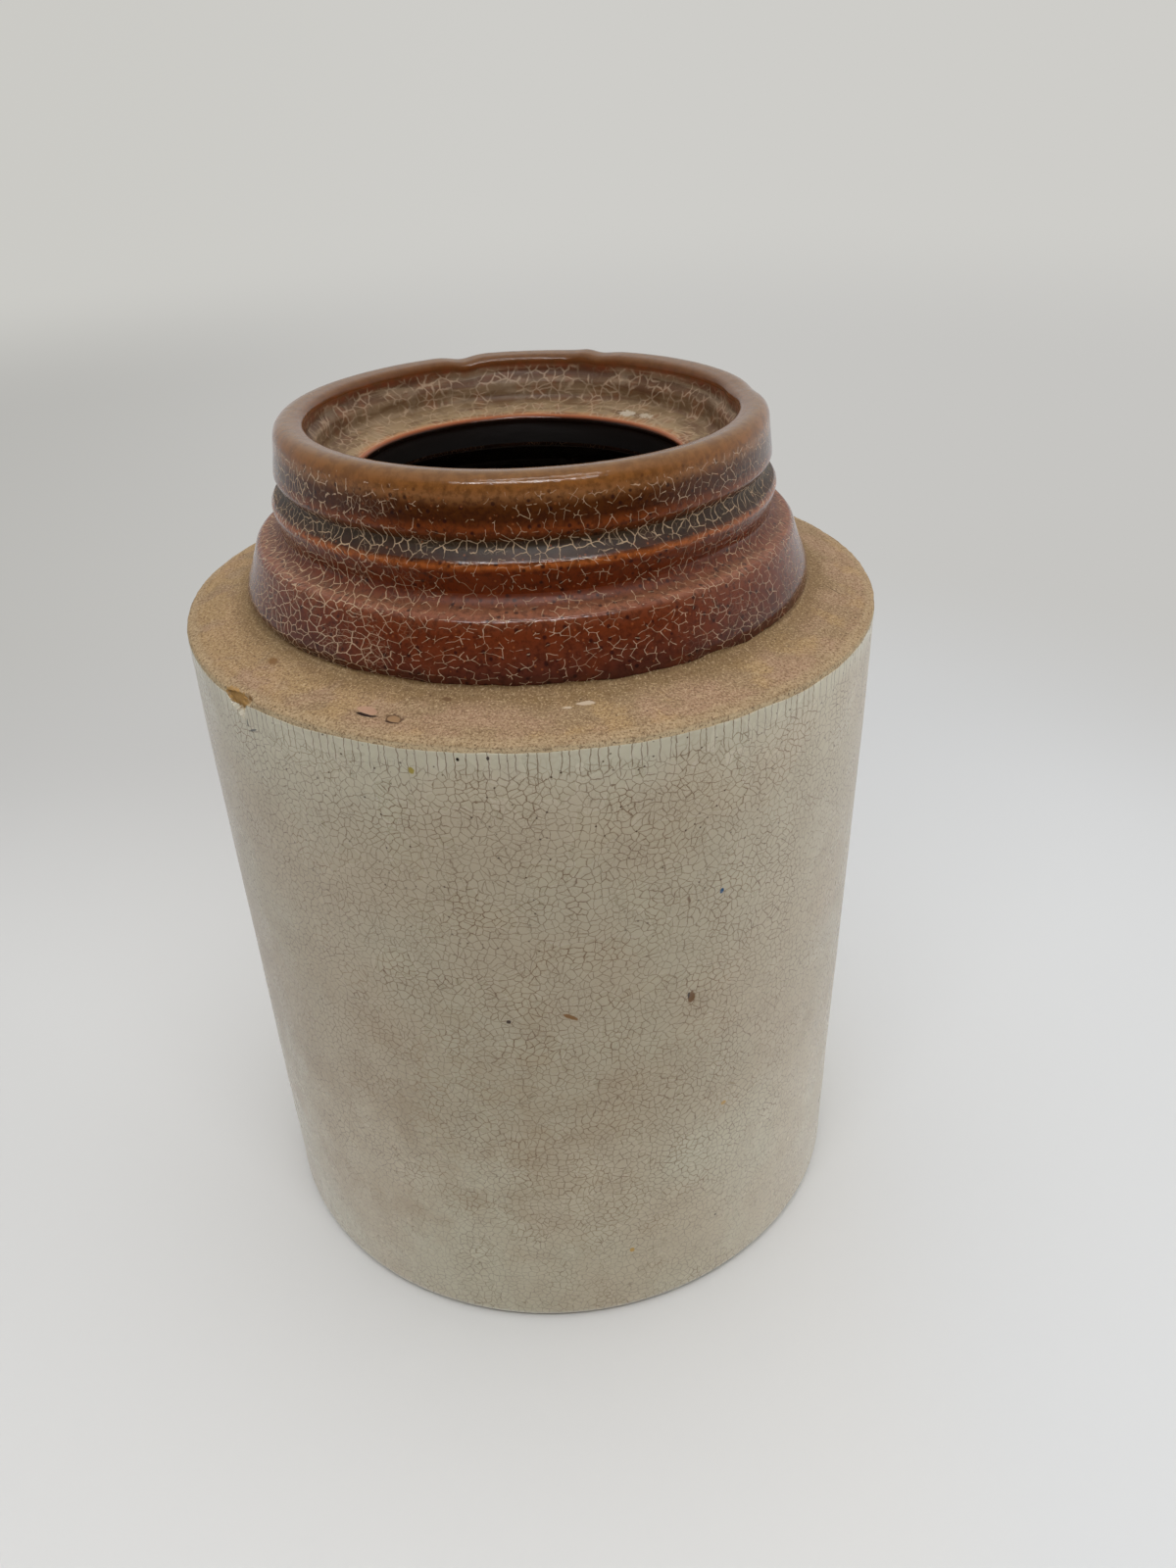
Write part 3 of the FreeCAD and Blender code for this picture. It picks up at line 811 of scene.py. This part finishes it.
def brown_glaze():
    """Rust to dark brown glaze, thin and orange on edges, dull with dust on ledges, crackled in cream."""
    shade = Shade("brown_glaze")
    crack = neck_cracks(shade)
    body = shade.mix(shade.math("MULTIPLY", crack, 0.85), neck_body(shade), colour(*NECK_CRACK))
    body = mouth_residue(shade, body)
    ledge = band(shade, AT["bulge_top"] + 1.2, AT["waist"] + 0.8, 1.0)
    dusty = shade.total(ledge, band(shade, AT["ridge"] + 1.8, AT["groove"] + 0.5, 0.6))
    on_lip = band(shade, AT["lip_outside"] + 1.0, AT["lip_inside"] + 1.0, 2.0)
    in_mouth = band(shade, AT["lip_inside"] + 3.0, AT["throat_lip"] - 2.0, 2.0)

    grain = shade.product(shade.noise(2.4, 3.0, 0.55), 0.8)
    pores = shade.product(shade.noise(0.7, 2.0), 0.5)
    height = shade.total(shade.product(crack, 0.25), grain, pores, shade.turned(1.1))
    rough = shade.total(
        shade.math("MULTIPLY_ADD", shade.noise(6.0), 0.12, 0.04),
        shade.math("MULTIPLY", crack, 0.25),
        shade.math("MULTIPLY", dusty, 0.4),
        shade.math("MULTIPLY", on_lip, 0.03),
        shade.math("MULTIPLY", in_mouth, 0.4),
        shade.step(AT["throat_lip"] + 1.0, AT["throat_lip"] + 3.0, shade.run, 0.5))
    return shade.finish(body, rough, height, 0.075, IOR=1.32)


def dark_lining():
    """Thick glossy dark brown glaze, blotched, with a faint crack net."""
    shade = Shade("dark_lining")
    blotch = shade.step(0.35, 0.7, shade.noise(14.0, 4.0, 0.6))
    body = shade.mix(blotch, colour(40, 24, 15), colour(20, 12, 8))
    distance = crack_net(shade, shade.run, cell=3.0, reach=88.0)
    crack = shade.product(shade.step(0.2, 0.06, distance), shade.step(0.45, 0.6, shade.noise(12.0, 2.0)))
    body = shade.mix(shade.math("MULTIPLY", crack, 0.3), body, colour(90, 72, 56))
    rough = shade.math("MULTIPLY_ADD", shade.noise(8.0), 0.15, 0.12)
    return shade.finish(body, rough, shade.noise(3.0, 3.0), 0.08)


def bare_clay():
    """Unglazed tan stoneware: sandy grain, turning marks, darker by the neck, paler at the edge, painted
    light under its rounding.
    """
    shade = Shade("bare_clay")
    edge, foot = AT["shoulder_edge"], AT["neck_foot"]
    turned = shade.turned(1.0)
    grain = shade.noise(0.6, 3.0, 0.7)
    sand = shade.noise(1.3, 3.0, 0.6)

    pink = shade.step(0.38, 0.62, shade.noise(16.0, 4.0, 0.6))
    body = shade.mix(pink, colour(154, 129, 97), colour(168, 137, 109))
    yellow = shade.math("MULTIPLY_ADD", shade.step(0.0, -0.09, shade.x), 0.18, shade.noise(11.0, 3.0))
    body = shade.mix(shade.step(0.54, 0.66, yellow, 0.55), body, colour(180, 148, 101))
    inner = shade.math("MULTIPLY_ADD", shade.noise(7.0, 3.0), 7.0, shade.run)
    body = shade.mix(shade.step(foot - 6.0, foot + 1.0, inner, 0.8), body, colour(130, 104, 68))
    past_edge = shade.math("SUBTRACT", shade.run, edge + 1.5)
    beside = shade.math("MULTIPLY_ADD", shade.noise(6.0, 3.0), 3.0, past_edge)
    on_edge = shade.product(shade.step(4.0, 1.5, beside), shade.step(-4.0, -2.0, beside))
    body = shade.mix(shade.math("MULTIPLY", on_edge, 0.8), body, colour(174, 150, 116))
    # painted light: the rounded underside of the shoulder's edge is painted paler to cancel its shading
    body = shade.mix(shade.step(edge + 0.2, edge - 0.8, shade.run, 0.9), body, colour(206, 184, 148))
    body = shade.mix(shade.step(0.5, 0.7, turned, 0.32), body, colour(126, 96, 66))
    body = shade.mix(shade.step(0.44, 0.34, turned, 0.18), body, colour(206, 178, 142))
    body = shade.mix(shade.step(0.5, 0.66, sand, 0.4), body, colour(134, 106, 74))
    body = shade.mix(shade.step(0.53, 0.6, grain, 0.65), body, colour(108, 80, 54))
    body = shade.mix(shade.step(0.44, 0.36, grain, 0.5), body, colour(212, 186, 148))
    holes = shade.math("MULTIPLY", specks(shade, 1.4, 0.32, 0.3), shade.step(0.0, 1.0, on_edge, 0.75))
    body = shade.mix(holes, body, colour(84, 60, 40))
    grit = shade.math("MULTIPLY", specks(shade, 2.6, 0.36, 0.3, 0.7), 0.8)
    body = shade.mix(grit, body, colour(84, 60, 42))
    body = marked(shade, body, [
        (-139.6, edge - 1.8, 6.2, 3.3, 0.0, (178, 138, 82)),
        (-136.4, edge + 0.3, 1.2, 0.8, 20.0, (140, 104, 66)),
        (-111.8, on_shoulder(93.0), 2.7, 1.8, 0.0, (84, 58, 40)),
        (-111.8, on_shoulder(92.8), 2.0, 1.2, 0.0, (152, 120, 86)),
        (-141.5, on_shoulder(87.0), 2.3, 1.3, 20.0, (132, 98, 62)),
        (-105.0, on_shoulder(84.5), 1.4, 0.8, 10.0, (112, 84, 56)),
        (-82.4, on_shoulder(86.4), 2.6, 0.8, 0.0, (196, 176, 152)),
        (-85.6, on_shoulder(87.4), 1.2, 0.5, 0.0, (196, 176, 152)),
    ], 0.9)
    body = marked(shade, body, [
        (-116.8, on_shoulder(91.6), 3.2, 1.3, 0.0, (182, 144, 118)),
        # the two dark thin lines along the near edges of the flake and the pit are painted shadows
        (-116.3, on_shoulder(93.2), 3.4, 0.8, 0.0, (38, 18, 10)),
        (-111.8, on_shoulder(94.2), 2.2, 0.4, 0.0, (52, 30, 18)),
        (-14.6, on_shoulder(88.0), 0.22, 4.6, 40.0, (104, 80, 58)),
    ], 0.3)
    body = shade.mix(shade.step(AT["throat_lip"], AT["throat_foot"], shade.run), body, colour(22, 13, 8))
    height = shade.total(shade.product(grain, 0.9), shade.product(turned, 0.5), shade.product(sand, 0.8))
    return shade.finish(body, 0.9, height, 0.3, Specular_IOR_Level=0.25)


def stone_clay():
    """Pale unglazed stoneware of the weight stones."""
    shade = Shade("stone_clay")
    grain = shade.noise(0.8, 4.0, 0.7)
    cloudy = shade.step(0.35, 0.65, shade.noise(20.0, 3.0))
    body = shade.mix(cloudy, colour(176, 164, 142), colour(190, 180, 158))
    body = shade.mix(shade.step(0.5, 0.8, grain, 0.4), body, colour(132, 116, 94))
    body = shade.mix(specks(shade, 3.0, 0.5, 0.3), body, colour(84, 64, 46))
    return shade.finish(body, 0.82, grain, 0.25, Specular_IOR_Level=0.3)


# ---------------------------------------------------------------- the pieces

def build_jar():
    cream, brown, lining, clay = cream_glaze(), brown_glaze(), dark_lining(), bare_clay()
    wall_end = AT["shoulder_edge"] - 1.5
    wall_start = AT["foot"] - 1.2
    neck_start = AT["neck_foot"] + 0.6
    split = AT["throat_foot"] - 1.2
    floor_end = AT["floor_centre"] - 0.1

    wall = glaze_coat(
        "wall_coat",
        spaced([(wall_start, 0.5), (wall_start + 6, 1.4), (wall_end - 7, 0.35), (wall_end, 0)]),
        480, cream, 0.25, 0.10, (0.5, 0.5))
    neck = glaze_coat(
        "neck_coat", spaced([(neck_start, 0.3), (neck_start + 3, 0.75), (split, 0)]),
        600, brown, 0.45, 0.25, (0.9, 0.0))
    inside = glaze_coat(
        "lining_coat", spaced([(split, 0.8), (AT["neck_root"], 2.5), (floor_end, 0)]),
        300, lining, 0.0, 0.0, (0.0, 0.0))
    body = clay_shape(
        "clay_pot",
        spaced([
            (0.6, 6), (AT["foot"] - 4, 0.6), (AT["foot"] + 6, 6), (wall_end - 7, 0.4),
            (AT["neck_foot"] + 3, 2.5), (AT["throat_foot"], 5), (floor_end, 0)]),
        560, clay, [(wall_start, wall_end), (neck_start, split), (split, AT["floor_centre"] + 5)])
    for piece, node, slot in [
        (wall, "wall_glaze", "cream_glaze"),
        (neck, "neck_glaze", "brown_glaze"),
        (inside, "liner_glaze", "liner_glaze"),
        (body, "clay_body", "bare_clay"),
    ]:
        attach(piece, "crock")
        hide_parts(node)


def dress_stones():
    stone = stone_clay()
    for name in ("weight_stone_front", "weight_stone_back"):
        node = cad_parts[name]
        node.data.materials.clear()
        node.data.materials.append(stone)


# ---------------------------------------------------------------- studio and camera

def build_stage():
    """A pale floor that turns, far off all round, into a pale wall that only the camera sees."""
    floor = turned_sheet("floor", [(r, 0.0) for r in (0.0, 0.12, 0.3, 0.72)], floor_paper())
    curve = [(1.2 + 0.5 * math.sin(a), 0.5 - 0.5 * math.cos(a)) for a in np.linspace(0, math.pi / 2, 12)]
    wall = turned_sheet("backdrop", [(0.7, -0.0005)] + curve + [(1.7, 2.4)], backdrop_paper())
    for sheet in (floor, wall):
        sheet.visible_glossy = False
    wall.visible_diffuse = False
    wall.visible_shadow = False


def paper_glow(shade):
    """The glowing tone of far paper, with painted shade: darker low down and on the left."""
    body = shade.mix(shade.step(0.0, 0.14, shade.z), colour(198, 197, 194), colour(206, 205, 201))
    left = shade.mix(shade.step(0.0, 0.1, shade.z), colour(178, 177, 173), colour(202, 201, 196))
    body = shade.mix(shade.step(0.1, -0.7, shade.x, 0.75), body, left)
    return shade.node("ShaderNodeEmission", body, 1.0).outputs[0]


def floor_paper():
    """Paper that takes the light and shadow near the jar, with painted shade and light in its colour, and
    glows far from it.
    """
    shade = Shade("floor_paper")
    # painted shade and light: darker further back and on the left, lighter and cooler on the right
    body = shade.mix(shade.step(0.06, 0.32, shade.y), colour(224, 224, 223), colour(204, 203, 201))
    body = shade.mix(shade.step(-0.08, -0.45, shade.x, 0.6), body, colour(200, 200, 199))
    body = shade.mix(shade.step(0.07, 0.14, shade.x, 0.6), body, colour(221, 223, 225))
    paper = shade.node("ShaderNodeBsdfDiffuse", body).outputs[0]
    reach = shade.vector("LENGTH", shade.place)
    blend = shade.node("ShaderNodeMixShader", shade.step(0.32, 0.62, reach), paper, paper_glow(shade))
    return shade.close(blend.outputs[0])


def backdrop_paper():
    shade = Shade("backdrop_paper")
    return shade.close(paper_glow(shade))


def turned_sheet(name, profile, material):
    """An open turned sheet, from (radius, height) points in metres."""
    across = 96
    angles = np.linspace(0, 2 * math.pi, across, endpoint=False)
    points = [(r * math.cos(a), r * math.sin(a), h) for r, h in profile for a in angles]
    faces = []
    for row in range(len(profile) - 1):
        for k in range(across):
            low, high = row * across, (row + 1) * across
            following = (k + 1) % across
            faces.append((low + k, low + following, high + following, high + k))
    mesh = bpy.data.meshes.new(name)
    mesh.from_pydata(points, [], faces)
    mesh.polygons.foreach_set("use_smooth", [True] * len(faces))
    mesh.materials.append(material)
    sheet = bpy.data.objects.new(name, mesh)
    bpy.context.scene.collection.objects.link(sheet)
    return sheet


def soft_light(name, place, target, size, power, in_gloss=True, in_matte=True):
    """A rectangular lamp at place, facing target, for glossy surfaces, matte ones or both."""
    lamp = bpy.data.lights.new(name, "AREA")
    lamp.shape = "RECTANGLE"
    lamp.size, lamp.size_y = size
    lamp.energy = power
    holder = bpy.data.objects.new(name, lamp)
    holder.location = place
    direction = [t - p for t, p in zip(target, place)]
    holder.rotation_euler = Vector(direction).to_track_quat("-Z", "Y").to_euler()
    holder.visible_camera = False
    holder.visible_glossy = in_gloss
    holder.visible_diffuse = in_matte
    bpy.context.scene.collection.objects.link(holder)


def grey(level):
    return (level, level, level)


def build_light():
    """A white tent, dark towards the front, with a soft box above, a fill panel and two lamps for gloss."""
    world = bpy.data.worlds.new("tent")
    bpy.context.scene.world = world
    world.use_nodes = True
    shade = Nodes(world.node_tree)
    direction = shade.node("ShaderNodeTexCoord").outputs["Generated"]
    x, y, z = shade.node("ShaderNodeSeparateXYZ", direction).outputs
    tent = shade.mix(shade.step(-0.1, 0.9, z), grey(0.62), grey(1.14))
    tent = shade.mix(shade.step(0.3, 0.9, x), tent, (0.94, 0.93, 0.91))
    tent = shade.mix(shade.step(-0.3, -0.9, x), tent, grey(0.56))
    frontal = shade.step(0.05, 0.65, shade.math("MULTIPLY", y, -1.0))
    low = shade.step(0.9, 0.6, z)
    tent = shade.mix(shade.math("MULTIPLY", frontal, low), tent, grey(0.07))
    background = shade.node("ShaderNodeBackground", tent, 1.0)
    output = shade.node("ShaderNodeOutputWorld")
    shade.tree.links.new(background.outputs[0], output.inputs["Surface"])
    soft_light("soft_box", (0.0, -0.46, 0.73), (0.0, -0.07, 0.25), (0.66, 0.09), 1.9)
    soft_light("glint", (0.0, -0.45, 0.72), (0.0, -0.07, 0.25), (0.5, 0.05), 1.6, in_matte=False)
    soft_light("upper_glint", (0.04, -0.24, 0.8), (0.0, -0.07, 0.25), (0.4, 0.03), 0.7, in_matte=False)
    soft_light("fill_panel", (0.3, -1.1, 0.45), (0.0, 0.0, 0.12), (0.9, 0.6), 0.5, in_gloss=False)


CAMERA_PLACE = (0.0, -0.3453, 0.3484)
CAMERA_PITCH = 31.14
CAMERA_YAW = -2.46
CAMERA_ROLL = -1.99
LENS = 28.125


def build_camera():
    lens = bpy.data.cameras.new("camera")
    lens.lens = LENS
    lens.sensor_width = 36.0
    lens.clip_start = 0.01
    camera = bpy.data.objects.new("camera", lens)
    turn = Matrix.Rotation(math.radians(CAMERA_YAW), 4, "Z")
    tip = Matrix.Rotation(math.radians(90.0 - CAMERA_PITCH), 4, "X")
    roll = Matrix.Rotation(math.radians(CAMERA_ROLL), 4, "Z")
    camera.matrix_world = Matrix.Translation(CAMERA_PLACE) @ turn @ tip @ roll
    bpy.context.scene.collection.objects.link(camera)
    bpy.context.scene.camera = camera
    bpy.context.scene.view_settings.view_transform = "Standard"


build_jar()
dress_stones()
build_stage()
build_light()
build_camera()
